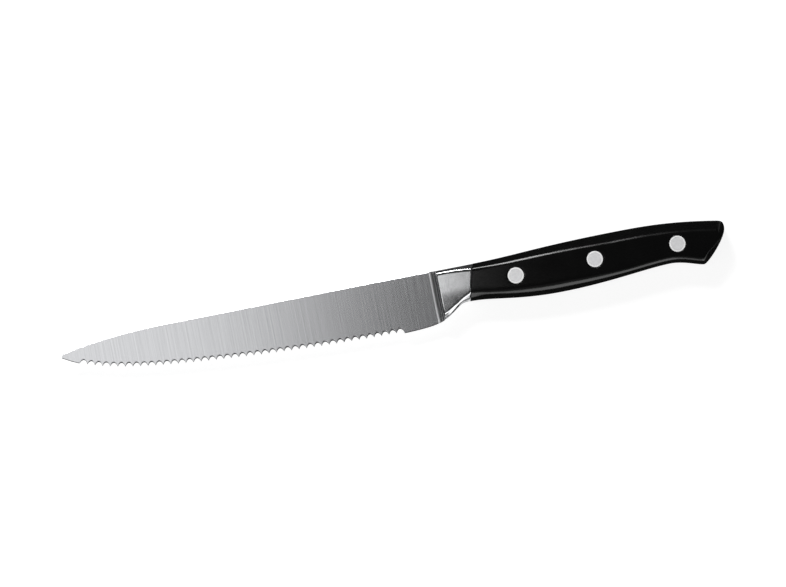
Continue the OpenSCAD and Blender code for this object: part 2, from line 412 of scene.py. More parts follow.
def joined_faces(start, seen):
    """The faces that hang together with one face over shared edges, which are noted as seen."""
    seen.add(start)
    patch = [start]
    for face in patch:
        for edge in face.edges:
            for near in edge.link_faces:
                if edge.is_manifold and near not in seen:
                    seen.add(near)
                    patch.append(near)
    return patch


def drop_specks(code):
    """Deletes patches of a few faces, which cuts that nearly meet leave hanging by an edge."""
    seen, specks = set(), []
    for face in code.faces:
        if face not in seen:
            patch = joined_faces(face, seen)
            if len(patch) < SPECK_FACES:
                specks += patch
    bmesh.ops.delete(code, geom=specks, context="FACES")


def smooth(thing, crease):
    """Smooth shading with edges sharp from an angle in degrees, and flat faces that stay flat."""
    code = bmesh.new()
    code.from_mesh(thing.data)
    bmesh.ops.remove_doubles(code, verts=code.verts, dist=WELD)
    bmesh.ops.dissolve_degenerate(code, dist=WELD, edges=code.edges)
    drop_specks(code)
    for face in code.faces:
        face.smooth = True
    for edge in code.edges:
        edge.smooth = edge.is_manifold and edge.calc_face_angle(0.0) < math.radians(crease)
    code.to_mesh(thing.data)
    code.free()
    change = thing.modifiers.new("normals", "WEIGHTED_NORMAL")
    change.keep_sharp = True
    change.weight = NORMAL_WEIGHT


def settled(x, y, height):
    """Lowers a point near the surface by as much as the side, so that it stays flush."""
    if abs(height) < HALF_T - HEAD_T / 2:
        return x, y, height
    return x, y, height - math.copysign(fall(x, y), height)


def lathe(profile, at, steps):
    """A closed solid turned about an upright axis through a point, from radius and height pairs."""
    code = bmesh.new()
    rings = []
    for radius, height in profile:
        if radius == 0:
            rings.append([code.verts.new(placed(settled(at.x, at.y, height)))])
            continue
        rings.append([
            code.verts.new(placed(settled(at.x + radius * math.cos(turn),
                                          at.y + radius * math.sin(turn), height)))
            for turn in (2 * math.pi * i / steps for i in range(steps))
        ])
    for low, high in zip(rings, rings[1:]):
        for i in range(steps):
            j = (i + 1) % steps
            if len(low) == 1:
                code.faces.new((low[0], high[i], high[j]))
            elif len(high) == 1:
                code.faces.new((low[i], high[0], low[j]))
            else:
                code.faces.new((low[i], high[i], high[j], low[j]))
    bmesh.ops.recalc_face_normals(code, faces=code.faces)
    return code


# Bolster and handle form, which the steel and the scales share

class Station:
    """A place on the outline: how far in its chamfered edge reaches and how deep it is."""

    def __init__(self, x, y, inset, width, curve, edge_r=EDGE_R, ahead=None, low=False,
                 band=0.0, bend=TOP_BEND):
        self.x, self.y, self.ahead, self.low = x, y, ahead, low
        self.inset, self.width, self.edge_r = inset, width, edge_r
        self.band, self.bend = max(band, BAND_MIN), bend
        room = width - self.band - edge_r * (1 - math.sin(CHAMFER))
        curve = min(curve, room)
        self.radius = curve / math.sin(CHAMFER)
        self.depth = (edge_r * math.cos(CHAMFER) + (room - curve) * math.tan(CHAMFER)
                      + self.band * math.tan(bend) + self.radius * (1 - math.cos(CHAMFER)))

    def edge(self, k):
        """Share of the inset and height of edge ring k, from the wall to the flat side."""
        if k <= OUTER_STEPS:
            tilt = mix(math.pi / 2, CHAMFER, k / OUTER_STEPS)
            inward = self.edge_r * (1 - math.sin(tilt))
            drop = self.depth - self.edge_r * math.cos(tilt)
        else:
            step = k - OUTER_STEPS - 1 - OVER_STEPS
            if step <= 0:
                tilt, beyond = mix(self.bend, CHAMFER, -step / OVER_STEPS), self.band
            else:
                tilt, beyond = self.bend * (1 - (step - 1) / UNDER_STEPS), 0.0
            inward = self.width - beyond - self.radius * math.sin(tilt)
            drop = beyond * math.tan(self.bend) + self.radius * (1 - math.cos(tilt))
        return inward / self.width, HALF_T - drop

    def outer(self, height):
        """The outline at a height, where the forged hollow draws the bolster's front forward."""
        if self.ahead is None:
            return self.x, self.y
        front = hollow_x(height)
        end = NECK_X if self.low else BOLSTER_L
        x = front + (end - front) * self.ahead
        return x, under_y(x) if self.low else 0.0


def hollow_x(height):
    """The forged hollow, which meets the blade at a slight angle."""
    below = max(0.0, ROOT_H - max(0.0, height - SPINE_HALF))
    return -ROOT_R + math.sqrt(ROOT_R ** 2 - below ** 2)


def fall(x, y):
    """How far the side lies below its widest part."""
    front = max(0.0, BOLSTER_L - x)
    lean = SWELL * (1 - ramp(x, BOLSTER_L, BOLSTER_L + SWELL_L)) ** 2
    lean += (2 * SWELL / SWELL_L + NOSE_CURVE * front) * front
    bulge = max(0.0, -y - BULGE_FROM) ** 2 / (2 * BULGE_R)
    return lean + bulge * (1 - ramp(x, BOLSTER_L, BOLSTER_L + BULGE_FADE))


def crowned(x, y, height):
    """Lowers the side by its fall, and lets the bolster's foot follow the tapered blade."""
    joint = BOLSTER_L + y * LEAN
    near = clamp((joint - x) / joint)
    foot = clamp((HALF_T - height) / (HALF_T - SPINE_HALF))
    return height - fall(x, y) * ramp(height, SPINE_HALF, FULL_H) + foot * EDGE_SLOPE * y * near


def top_width(x):
    """Width of the upper edge behind the joint."""
    rise = ramp(x, JOINT.x, CROWN.x)
    width = mix(mix(HANDLE_WIDTH, CROWN_WIDTH, rise), REAR_WIDTH, ramp(x, CROWN.x, CORNER.x))
    return width - (HANDLE_WIDTH - JOINT_WIDTH) * (1 - ramp(x, JOINT.x, TOP_BAND_TO))


def low_chamfer(x):
    """Chamfer of the scales' lower edge."""
    front = mix(NECK_CHAMFER, LOW_CHAMFER, ramp(x, NECK_X, LOW_BAND_TO))
    return mix(front, REAR_CHAMFER, ramp(x, PALM_TO, REAR_FROM))


def low_curve(x):
    """Curve of the scales' lower edge, which is widest in the palm."""
    palm = ramp(x, NECK_X, PALM_FROM) - ramp(x, PALM_TO, REAR_FROM)
    return mix(LOW_CURVE, PALM_CURVE, palm)


def low_band(x):
    """Flat band of the scales' lower edge, which fades out behind the joint."""
    return LOW_BAND * (1 - ramp(x, NECK_X, LOW_BAND_TO))


def top_rim_station(f):
    """The bolster's upper edge at a share of its length."""
    width = mix(FRONT_WIDTH, JOINT_WIDTH, f * f)
    return Station(0, 0, (FRONT_R * (1 - f) - width * LEAN * f, -width), width,
                   mix(FRONT_CURVE, JOINT_CURVE, f), ahead=f, band=TOP_BAND)


def top_station(p):
    """The scales' upper edge at a point of the outline."""
    width = top_width(p.x)
    back = ramp(p.x, JOINT.x, TOP_BAND_TO)
    return Station(p.x, p.y, (0, -width), width, mix(JOINT_CURVE, TOP_CURVE, back),
                   band=TOP_BAND * (1 - back))


def top_stations():
    """The upper edge, from the bolster's front over the crown to the butt's corner."""
    out = [top_rim_station(i / BOLSTER_STEPS) for i in range(BOLSTER_STEPS + 1)]
    rise = level_curve(JOINT, CROWN, *JOINT_TO_CROWN)
    descent = level_curve(CROWN, CORNER, *CROWN_TO_CORNER, CORNER_SLOPE)
    return out + [top_station(p) for p in run(rise, RUN_STEPS) + run(descent, RUN_STEPS)]


def butt_line(corner, butt, hook):
    """From the corner over the rearmost point towards the hook."""
    top = run(upright_curve(corner, butt, *CORNER_TO_BUTT, CORNER_SLOPE), BUTT_STEPS)
    low = run(upright_curve(hook, butt, *HOOK_TO_BUTT), BUTT_STEPS)[::-1]
    return top + low[1:]


def butt_stations():
    """The butt's edge, its sizes square to the outline."""
    corner = CORNER - Vector((0, REAR_WIDTH))
    hook = HOOK + Vector((0, REAR_CHAMFER + LOW_CURVE))
    butt = Vector((BUTT.x - BUTT_WIDTH, corner.y - (CORNER.y - BUTT.y) / 2))
    out = []
    outer = butt_line(CORNER, BUTT, HOOK)
    inner = butt_line(corner, butt, hook)
    for i, (p, q) in enumerate(zip(outer, inner)):
        along = (outer[min(i + 1, len(outer) - 1)] - outer[max(i - 1, 0)]).normalized()
        inset = q - p
        width = abs(inset.x * along.y - inset.y * along.x)
        curve = mix(TOP_CURVE, BUTT_CURVE, ramp(i, 0, BUTT_STEPS / 2))
        curve = mix(curve, LOW_CURVE, ramp(i, len(outer) - HOOK_STEPS, len(outer)))
        out.append(Station(p.x, p.y, inset, width, curve,
                           bend=mix(TOP_BEND, LOW_BEND, i / len(inner))))
    return out


def low_rim_station(f):
    """The bolster's lower edge at a share of its length, its sizes square to the outline."""
    x = NECK_X * f
    drop = under_y(x - SLOPE_STEP) - under_y(x + SLOPE_STEP)
    inward = Vector((drop, 2 * SLOPE_STEP)).normalized()
    front_band = mix(LOW_BAND_FRONT, LOW_BAND_MID, ramp(f, 0, BAND_DIP))
    band = mix(front_band, LOW_BAND, ramp(f, BAND_DIP, 1) ** BAND_POWER)
    curve = mix(RIM_CURVE, LOW_CURVE, f ** RIM_POWER)
    width = mix(FRONT_CHAMFER, NECK_CHAMFER, f) + band + curve
    lean = FRONT_R * (1 - f) + width * LEAN * f
    return Station(0, 0, (lean, (width - lean * inward.x) / inward.y), width, curve, ahead=f,
                   low=True, band=band, bend=LOW_BEND)


def low_station(p):
    """The scales' lower edge at a point of the outline."""
    width = low_chamfer(p.x) + low_curve(p.x) + low_band(p.x)
    return Station(p.x, p.y, (0, width), width, low_curve(p.x), band=low_band(p.x),
                   bend=LOW_BEND)


def low_stations():
    """The lower edge, from the hook over the waist and the palm to the bolster's front."""
    out = [low_rim_station(i / BOLSTER_STEPS) for i in range(BOLSTER_STEPS + 1)]
    curves = (level_curve(NECK, PALM, *NECK_TO_PALM), level_curve(PALM, WAIST, *PALM_TO_WAIST),
              level_curve(WAIST, HOOK, *WAIST_TO_HOOK))
    for curve, steps in zip(curves, LOW_RUNS):
        out += [low_station(p) for p in run(curve, steps)]
    return out[::-1]


def wall_height(k, top):
    """Height of wall ring k: close together over the forged hollow, then on to the top."""
    hollow_top = SPINE_HALF + ROOT_H
    share = min(1.0, WALL_SHARE * top / hollow_top)
    if k < 2:
        return k * (SPINE_HALF - UNDER_SPINE) * share
    if k <= FILLET_STEPS + 1:
        turn = mix(ROOT_TILT, math.pi / 2, (k - 1) / FILLET_STEPS)
        return (hollow_top - ROOT_R * math.cos(turn)) * share
    return mix(hollow_top * share, top, (k - FILLET_STEPS - 1) / UPPER_STEPS)


def ring_point(station, k):
    """Point of ring k: up the wall first, then over the chamfered edge to the flat side."""
    if k <= WALL_STEPS:
        inward, height = 0.0, wall_height(k, HALF_T - station.depth)
    else:
        inward, height = station.edge(k - WALL_STEPS)
    x, y = station.outer(height)
    return x + station.inset[0] * inward, y + station.inset[1] * inward, height


def front_point(first, last, k, share):
    """Point of ring k on the bolster's front, between its top and bottom corners."""
    radius = mix(FRONT_R, HEEL_R, share ** HEEL_POWER)
    front = Station(0, 0, (FRONT_R, 0), radius, radius * math.sin(CHAMFER), radius, ahead=0.0)
    x, _, height = ring_point(front, k)
    y = mix(ring_point(first, k)[1], ring_point(last, k)[1], share)
    return x, y, height


def form_rings(code, line, side, middle):
    """Rings of points around the form, from its middle plane over the edge to one flat side."""
    rings = [middle] if middle else []
    for k in range(len(rings), WALL_STEPS + ROUND_STEPS + 1):
        around = [ring_point(station, k) for station in line]
        around += [front_point(line[0], line[-1], k, 1 - j / ACROSS) for j in range(1, ACROSS)]
        ring = []
        for x, y, height in around:
            z = side * crowned(x, y, height) if k else 0.0
            ring.append(code.verts.new(placed((x, y, z))))
        rings.append(ring)
    return rings


def add_skin(code, rings, side):
    """Faces between one ring and the next."""
    for low, high in zip(rings, rings[1:]):
        for i in range(len(low)):
            j = (i + 1) % len(low)
            corners = [low[i], low[j], high[j], high[i]]
            code.faces.new(corners if side == 1 else corners[::-1])


def add_flat_side(code, ring, count, side):
    """Grid inside the last ring. Its rows join the top and bottom stations of an odd count."""
    half = count // 2
    rows = [[ring[0]] + [ring[count + ACROSS - 1 - j] for j in range(1, ACROSS)]
            + [ring[count - 1]]]
    for i in range(1, half):
        a, b = ring[i], ring[count - 1 - i]
        row = [a]
        for j in range(1, ACROSS):
            p = a.co.lerp(b.co, j / ACROSS) / MM - ORIGIN
            row.append(code.verts.new(placed((p.x, p.y, side * crowned(p.x, p.y, HALF_T)))))
        rows.append(row + [b])
    for low, high in zip(rows, rows[1:]):
        for j in range(ACROSS):
            corners = [low[j], high[j], high[j + 1], low[j + 1]]
            code.faces.new(corners if side == -1 else corners[::-1])
    tail = rows[-1] + [ring[half]]
    code.faces.new(tail if side == 1 else tail[::-1])


def handle_form():
    """The whole closed form as a bmesh, with a grid over each flat side."""
    line = top_stations() + butt_stations() + low_stations()
    code = bmesh.new()
    left = form_rings(code, line, 1, None)
    right = form_rings(code, line, -1, left[0])
    for rings, side in ((left, 1), (right, -1)):
        add_skin(code, rings, side)
        add_flat_side(code, rings[-1], len(line), side)
    bmesh.ops.recalc_face_normals(code, faces=code.faces)
    return code


# Handle scales

def cut_plane(code, at, way, weld, **clear):
    """Adds edge lines where a plane crosses the form, or clears what lies before it."""
    geometry = code.verts[:] + code.edges[:] + code.faces[:]
    bmesh.ops.bisect_plane(code, geom=geometry, plane_co=at, plane_no=way, dist=weld, **clear)


def cut_joint(code, depth, **clear):
    """The same along the leaning joint, at a depth behind its plane."""
    cut_plane(code, placed((BOLSTER_L, 0, 0)) + JOINT_WAY * depth * MM, JOINT_WAY, WELD, **clear)


def fill_cut(code):
    """Closes the opening that a cut leaves."""
    rim = [e for e in code.edges if e.is_boundary]
    bmesh.ops.holes_fill(code, edges=rim, sides=0)
    bmesh.ops.recalc_face_normals(code, faces=code.faces)


def scale_code(side):
    """One handle scale: the form behind the joint, on one side of the tang."""
    code = handle_form()
    cut_plane(code, placed((0, 0, side * SPINE_HALF)), Vector((0, 0, side)), PLANE_WELD,
              clear_inner=True)
    fill_cut(code)
    cut_joint(code, SEAM, clear_inner=True)
    fill_cut(code)
    return code


def rivet_place(name):
    """Middle of a rivet, as its CAD node has it."""
    low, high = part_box(name + "_rivet_post")
    return (low + high) / 2 / MM - ORIGIN


def pocket(at, side):
    """Cutter for a rivet's counterbore, with a rolled lip at the surface."""
    hole = SLEEVE_D / 2 + GAP
    radius = HEAD_D / 2 + GAP
    floor = HALF_T - HEAD_T
    profile = [(0, 0), (hole, 0), (hole, floor), (radius, floor)]
    for i in range(LIP_STEPS + 1):
        turn = math.pi / 2 * i / LIP_STEPS
        profile.append((radius + LIP * (1 - math.cos(turn)), HALF_T - LIP * (1 - math.sin(turn))))
    profile += [(radius + LIP, HALF_T + CUT_MORE), (0, HALF_T + CUT_MORE)]
    return lathe([(r, side * h) for r, h in profile], at, RIVET_STEPS)


def build_scale(name, side, material):
    """One scale with its three counterbores."""
    thing = piece(name + "_plastic", scale_code(side), [material], [name])
    boolean(thing, [piece("pocket", pocket(rivet_place(n), side)) for n in RIVETS], "DIFFERENCE")
    smooth(thing, SCALE_CREASE)


# Steel forging

def soften(code):
    """Draws the bolster's rim in at the joint, so that it shows as a fine rounded line."""
    base = placed((BOLSTER_L, 0, 0))
    middle = ORIGIN.z * MM
    code.normal_update()
    for share, depth in ((1.0, 0.0), (SOFT_NEAR_SHARE, SOFT_NEAR * SOFT)):
        for vert in code.verts:
            away = (vert.co - base).dot(JOINT_WAY) + depth * MM
            if abs(away) > ON_LINE or abs(vert.co.z - middle) < SOFT_CLEAR * SPINE_HALF * MM:
                continue
            faces = [f for f in vert.link_faces if abs(f.normal.dot(JOINT_WAY)) < ACROSS_JOINT]
            if not faces:
                continue
            lean = sum((f.normal * f.calc_area() for f in faces), Vector())
            lean -= JOINT_WAY * lean.dot(JOINT_WAY)
            if lean.length > 0:
                vert.co -= lean.normalized() * share * SOFT_DEPTH * SOFT * MM


def leaning_box(low, high):
    """A box between two corners, which leans like the joint."""
    code = bmesh.new()
    bmesh.ops.create_cube(code, size=1)
    for vert in code.verts:
        x, y, z = (b if side > 0 else a for a, b, side in zip(low, high, vert.co))
        vert.co = placed((x + y * LEAN, y, z))
    return code


def side_cutter(side):
    """Cutter for the room that a scale takes beside the tang."""
    reach = 2 * HANDLE_L
    low, high = sorted((side * SPINE_HALF, side * reach))
    return piece("side", leaning_box((BOLSTER_L, -reach, low), (BOLSTER_L + reach, reach, high)))


def hole_cutter(name):
    """Cutter for a rivet's hole through the tang."""
    radius = SLEEVE_D / 2 + GAP
    profile = [(0, -HOLE_REACH), (radius, -HOLE_REACH), (radius, HOLE_REACH), (0, HOLE_REACH)]
    return piece("hole", lathe(profile, rivet_place(name), HOLE_STEPS))


def blade_outline():
    """Points around the blade from the bolster's top, and how many of them are on the spine."""
    points = [(BLANK_REACH, 0.0)]
    points += [(x, spine_y(x))
               for x in (-BLANK_ROOT, -ROOT_R, -RISE_L, -BLANK_MID, POINT_L - BLADE_L)]
    for i in range(1, POINT_STEPS + 1):
        x = POINT_L - BLADE_L - (POINT_L - NOSE_L) * i / POINT_STEPS
        points.append((x, spine_y(x)))
    spine_count = len(points) + NOSE_EASED
    top = spine_y(NOSE_L - BLADE_L) + TIP_H
    for i in range(1, NOSE_STEPS + 1):
        a = math.pi / 2 * i / NOSE_STEPS
        points.append((NOSE_L - BLADE_L - NOSE_L * math.sin(a),
                       top * max(0.0, math.cos(a)) ** NOSE_POWER - TIP_H))
    for i in range(1, BELLY_STEPS + 1):
        share = (1 - i / BELLY_STEPS) ** BELLY_CROWD
        x = -HEEL_FLAT_L - (BLADE_L - HEEL_FLAT_L) * share
        points.append((x, edge_y(x, HEEL_H)))
    for i in range(1, HEEL_STEPS + 1):
        x = -HEEL_FLAT_L + (HEEL_FLAT_L - ROOT_L) * i / HEEL_STEPS
        points.append((x, under_y(x)))
    points.append((BLANK_REACH, BLANK_FOOT - NECK_H))
    return points, spine_count


def blank_point(x, y, side, inward, drop, on_spine):
    """Point of the blade's blank, which is eased at the spine and beveled along the left edge."""
    if on_spine:
        y -= inward * SPINE_ROUND
        low = drop * SPINE_ROUND
    elif side == 1:
        y += inward * BEVEL_W
        low = (1 - inward) * BEVEL_H
    else:
        low = BACK_EASE * drop
    return placed((x, y, side * (blade_half(x, y) - low)))


def blade_code():
    """Blade blank: the tapered outline as six rings from the right side to the left."""
    points, spine_count = blade_outline()
    count = len(points)
    code = bmesh.new()
    rings = []
    for side in (-1, 1):
        for inward, drop in EASING[::-side]:
            rings.append([code.verts.new(blank_point(x, y, side, inward, drop, i < spine_count))
                          for i, (x, y) in enumerate(points)])
    for low, high in zip(rings, rings[1:]):
        for i in range(count):
            j = (i + 1) % count
            code.faces.new((low[i], low[j], high[j], high[i]))
    code.faces.new(rings[0][::-1])
    code.faces.new(rings[-1])
    bmesh.ops.recalc_face_normals(code, faces=code.faces)
    return code


def tooth_angle(x):
    """Direction of the edge that the teeth follow."""
    d = TOOTH_PITCH / 4
    return math.atan((edge_y(x + d, TOOTH_DEPTH) - edge_y(x - d, TOOTH_DEPTH)) / (2 * d))


def tooth_xs():
    """Middles of the hollows, a pitch apart along the edge from the heel to the plain tip."""
    x, out = -HEEL_L, []
    while True:
        step = TOOTH_PITCH * math.cos(tooth_angle(x))
        if x - step < PLAIN_TIP_L - BLADE_L:
            return out
        out.append(x - step / 2)
        x -= step


def rod(at, turn, pitch, offset, radius, length):
    """A long round cutter across the edge: leaned by pitch, and turned to follow the edge."""
    code = bmesh.new()
    bmesh.ops.create_cone(code, cap_ends=True, segments=ROD_STEPS, radius1=radius,
                          radius2=radius, depth=2 * length)
    for vert in code.verts:
        x, y, z = vert.co
        y, z = (y * math.cos(pitch) - z * math.sin(pitch) + offset,
                y * math.sin(pitch) + z * math.cos(pitch))
        x, y = x * math.cos(turn) - y * math.sin(turn), x * math.sin(turn) + y * math.cos(turn)
        vert.co = placed((x + at[0], y + at[1], z + at[2]))
    return code


def scallop_cutters(angle, extra, side):
    """Cutters for the hollows, ground at an angle from one side and extra deep by a little."""
    rise = TOOTH_H * math.sin(angle)
    radius = ((TOOTH_PITCH / 2) ** 2 + rise ** 2) / (2 * rise)
    offset = TOOTH_H + extra - radius / math.sin(angle)
    pitch = side * (math.pi / 2 - angle)
    length = radius / math.tan(angle) + ROD_MORE
    out = []
    for x in tooth_xs():
        y = edge_y(x, TOOTH_DEPTH)
        at = (x, y, blade_half(x, y))
        out.append(piece("scallop", rod(at, tooth_angle(x), pitch, offset, radius, length)))
    return out


def flat_uv(thing):
    """Lays a UV map along the knife, which gives the grinding its direction."""
    layer = thing.data.uv_layers.new(name="along")
    for loop in thing.data.loops:
        co = thing.data.vertices[loop.vertex_index].co
        layer.data[loop.index].uv = (co.x * UV_SCALE, co.y * UV_SCALE + co.z * UV_RISE)


def paint_steel(thing):
    """Ground blade, forged hollow, polished bolster and tang each take their own finish."""
    front = (ORIGIN.x - ROOT_L * GROUND_SHARE) * MM
    wall = (ORIGIN.x - HOLLOW_FINISH) * MM
    joint = ORIGIN.x * MM + BOLSTER_L * MM
    for face in thing.data.polygons:
        c = face.center
        if c.x < front:
            face.material_index = GROUND
        elif c.x < wall:
            face.material_index = HOLLOW
        elif c.x - (c.y - ORIGIN.y * MM) * LEAN < joint - JOINT_SLACK:
            face.material_index = POLISHED
        else:
            face.material_index = TANG


def build_forging(materials):
    """Bolster and tang from the handle form, joined with the toothed blade."""
    code = handle_form()
    for depth in (-SOFT, -SOFT_NEAR * SOFT, 0.0):
        cut_joint(code, depth)
    soften(code)
    form = piece("blade_bolster_and_tang", code, materials, ["blade_forging"])
    cutters = [side_cutter(1), side_cutter(-1)] + [hole_cutter(name) for name in RIVETS]
    boolean(form, cutters, "DIFFERENCE")
    blade = piece("blade", blade_code())
    boolean(blade, scallop_cutters(GRIND_ANGLE, -GRIND_BACK, 1), "DIFFERENCE")
    boolean(blade, scallop_cutters(BEVEL_ANGLE, BEVEL_W, -1), "DIFFERENCE")
    boolean(form, [blade], "UNION")
    smooth(form, FORGING_CREASE)
    for material in materials:
        if material.name not in form.data.materials:
            form.data.materials.append(material)
    paint_steel(form)
    flat_uv(form)


# Rivets

def head_profile():
    """From the rim up over the bevel, the flat ring that carries a painted highlight and a fine
    groove to the face.
    """
    r = HEAD_D / 2
    edge = r - HEAD_BEVEL
    groove = edge - RING_W
    half = GROOVE_W / 2
    profile = [(r, HALF_T - HEAD_T), (r, HALF_T - BEVEL_DEEP * HEAD_BEVEL),
               (edge + EASE_W, HALF_T - EASE_H), (edge - EASE_W, HALF_T), (groove, HALF_T),
               (groove - half, HALF_T - GROOVE_DEPTH), (groove - 2 * half, HALF_T)]
    return profile + [(share * r, HALF_T) for share in FACE_RINGS] + [(0, HALF_T)]


def shaft_profile(half):
    """The post, or the sleeve around it, from its far end to under the head."""
    end = SHAFT_GAP - HALF_T + HEAD_T
    head = HALF_T - HEAD_T
    if half == "post":
        return [(0, end), (POST_D / 2, end), (POST_D / 2, head)]
    inner, outer = POST_D / 2 + GAP, SLEEVE_D / 2
    return [(0, head), (inner, head), (inner, end), (outer, end), (outer, head)]


def build_rivet(name, half, materials):
    """One half of a rivet: the post from above or the sleeve from below."""
    at = rivet_place(name)
    side = 1 if half == "post" else -1
    profile = [(r, side * h) for r, h in shaft_profile(half) + head_profile()]
    node = f"{name}_rivet_{half}"
    thing = piece(node + "_metal", lathe(profile, at, RIVET_STEPS), materials, [node])
    edge = (HEAD_D / 2 - HEAD_BEVEL) * MM
    centre = placed((at.x, at.y, 0))
    for face in thing.data.polygons:
        reach = math.hypot(*(face.center - centre).xy)
        if abs(face.center.z - centre.z) < (HALF_T - HEAD_T / 2) * MM or reach > edge:
            face.material_index = BARREL
        # The flat band inside the bevel gets the painted highlight material.
        elif reach > edge - RING_W * MM:
            face.material_index = PAINTED_HIGHLIGHT_RING
        else:
            face.material_index = FACE
    smooth(thing, RIVET_CREASE)


# Materials

class Tree:
    """Short calls for the node tree of a material or a world."""

    def __init__(self, owner):
        owner.use_nodes = True
        self.nodes = owner.node_tree.nodes
        self.links = owner.node_tree.links

    def add(self, kind, **settings):
        node = self.nodes.new(kind)
        for key, value in settings.items():
            setattr(node, key, value)
        return node

    def link(self, a, b):
        self.links.new(a, b)

    def math(self, operation, a, b):
        node = self.add("ShaderNodeMath", operation=operation)
        self.link(a, node.inputs[0])
        self.link(b, node.inputs[1])
        return node.outputs[0]

    def spread(self, value, low, high, start=NOISE_LOW, end=NOISE_HIGH):
        """Maps a value to the range from low to high."""
        node = self.add("ShaderNodeMapRange")
        for key, number in (("From Min", start), ("From Max", end), ("To Min", low),
                            ("To Max", high)):
            node.inputs[key].default_value = number
        self.link(value, node.inputs["Value"])
        return node.outputs[0]


class Finish(Tree):
    """A material with one shader, laid out in the piece's own space."""

    def __init__(self, name, **values):
        self.material = bpy.data.materials.new(name)
        super().__init__(self.material)
        self.nodes.clear()
        out = self.add("ShaderNodeOutputMaterial")
        self.shader = self.add("ShaderNodeBsdfPrincipled")
        self.link(self.shader.outputs[0], out.inputs[0])
        self.place = self.add("ShaderNodeTexCoord").outputs["Object"]
        for key, value in values.items():
            self.shader.inputs[key].default_value = value

    def noise(self, scale, detail=3, stretch=(1, 1, 1), roughness=0.5):
        mapping = self.add("ShaderNodeMapping")
        mapping.inputs["Scale"].default_value = stretch
        self.link(self.place, mapping.inputs["Vector"])
        node = self.add("ShaderNodeTexNoise")
        node.inputs["Scale"].default_value = scale
        node.inputs["Detail"].default_value = detail
        node.inputs["Roughness"].default_value = roughness
        self.link(mapping.outputs[0], node.inputs["Vector"])
        return node.outputs["Fac"]

    def lines(self, stretch, detail=3, roughness=0.6):
        """Noise stretched into grinding lines, its three scales along the knife's axes."""
        return self.noise(1, detail, stretch, roughness)

    def colour(self, value, dark, light):
        """Colours the surface between two tints."""
        node = self.add("ShaderNodeValToRGB")
        first, last = node.color_ramp.elements
        first.position, first.color = NOISE_LOW, (*dark, 1)
        last.position, last.color = NOISE_HIGH, (*light, 1)
        self.link(value, node.inputs[0])
        self.link(node.outputs[0], self.shader.inputs["Base Color"])

    def roughen(self, value, low, high):
        self.link(self.spread(value, low, high), self.shader.inputs["Roughness"])

    def bump(self, height, distance):
        node = self.add("ShaderNodeBump")
        node.inputs["Strength"].default_value = 1.0
        node.inputs["Distance"].default_value = distance
        self.link(height, node.inputs["Height"])
        self.link(node.outputs[0], self.shader.inputs["Normal"])


def ground_steel():
    n = Finish("ground_steel", Metallic=1.0, Anisotropic=0.8)
    fine = n.lines((5200, 90, 90))
    lines = n.lines((1900, 12, 12), roughness=0.65)
    tangent = n.add("ShaderNodeTangent", direction_type="UV_MAP", uv_map="along")
    n.link(tangent.outputs[0], n.shader.inputs["Tangent"])
    n.colour(lines, dark=(0.55, 0.555, 0.57), light=(0.69, 0.695, 0.71))
    n.roughen(fine, 0.155, 0.185)
    n.bump(fine, distance=0.0000004)
    return n.material


def polished_steel(name, low, high):
    """Polish with a haze, its roughness between two values."""
    n = Finish(name, Metallic=1.0)
    haze = n.noise(420)
    fine = n.lines((2600, 500, 2600), detail=4)
    n.colour(fine, dark=(0.62, 0.625, 0.635), light=(0.68, 0.685, 0.695))
    n.roughen(haze, low, high)
    n.bump(fine, distance=0.000001)
    return n.material


def tang_steel():
    n = Finish("tang_steel", Metallic=1.0)
    fine = n.lines((120, 120, 6000), detail=4)
    n.colour(fine, dark=(0.5, 0.505, 0.515), light=(0.62, 0.625, 0.635))
    n.roughen(fine, 0.26, 0.36)
    n.bump(fine, distance=0.000002)
    return n.material


def black_plastic():
    n = Finish("black_plastic", IOR=1.46)
    grain = n.noise(2600, roughness=0.6)
    wave = n.noise(160, detail=2)
    n.colour(grain, dark=(0.001, 0.001, 0.001), light=(0.0035, 0.0035, 0.0035))
    n.roughen(wave, 0.14, 0.17)
    n.bump(grain, distance=0.000004)
    return n.material


def rivet_face():
    n = Finish("rivet_face", Metallic=0.15)
    mottle = n.noise(900, detail=4, roughness=0.6)
    fine = n.noise(5200)
    n.colour(mottle, dark=(0.77, 0.77, 0.78), light=(0.87, 0.87, 0.88))
    n.roughen(mottle, 0.42, 0.5)
    n.bump(fine, distance=0.000008)
    return n.material


def rivet_painted_highlight():
    # Near-white painted highlight on the flat ring inside the rivet's bevel, standing in for the
    # light that the rim catches.
    n = Finish("rivet_painted_highlight")
    fine = n.noise(3000)
    n.colour(fine, dark=(0.96, 0.96, 0.96), light=(0.99, 0.99, 0.99))
    n.roughen(fine, 0.36, 0.42)
    return n.material


def rivet_side():
    n = Finish("rivet_side", Metallic=1.0)
    fine = n.noise(2400)
    n.colour(fine, dark=(0.7, 0.7, 0.71), light=(0.8, 0.8, 0.81))
    n.roughen(fine, 0.2, 0.26)
    return n.material


# Stage, light and camera

def lifted_white(n, base):
    """Shader that looks white to the camera and in reflections, and still takes shadows."""
    path = n.add("ShaderNodeLightPath").outputs
    seen = n.math("MAXIMUM", path["Is Camera Ray"], path["Is Glossy Ray"])
    seen = n.math("MAXIMUM", seen, path["Is Transmission Ray"])
    length = n.add("ShaderNodeVectorMath", operation="LENGTH")
    n.link(n.add("ShaderNodeTexCoord").outputs["Object"], length.inputs[0])
    reach = n.spread(length.outputs["Value"], GLOW_NEAR, GLOW_FAR, GLOW_FROM, GLOW_TO)
    glow = n.add("ShaderNodeEmission")
    n.link(n.math("MULTIPLY", reach, seen), glow.inputs["Strength"])
    both = n.add("ShaderNodeAddShader")
    n.link(base.outputs[0], both.inputs[0])
    n.link(glow.outputs[0], both.inputs[1])
    return both


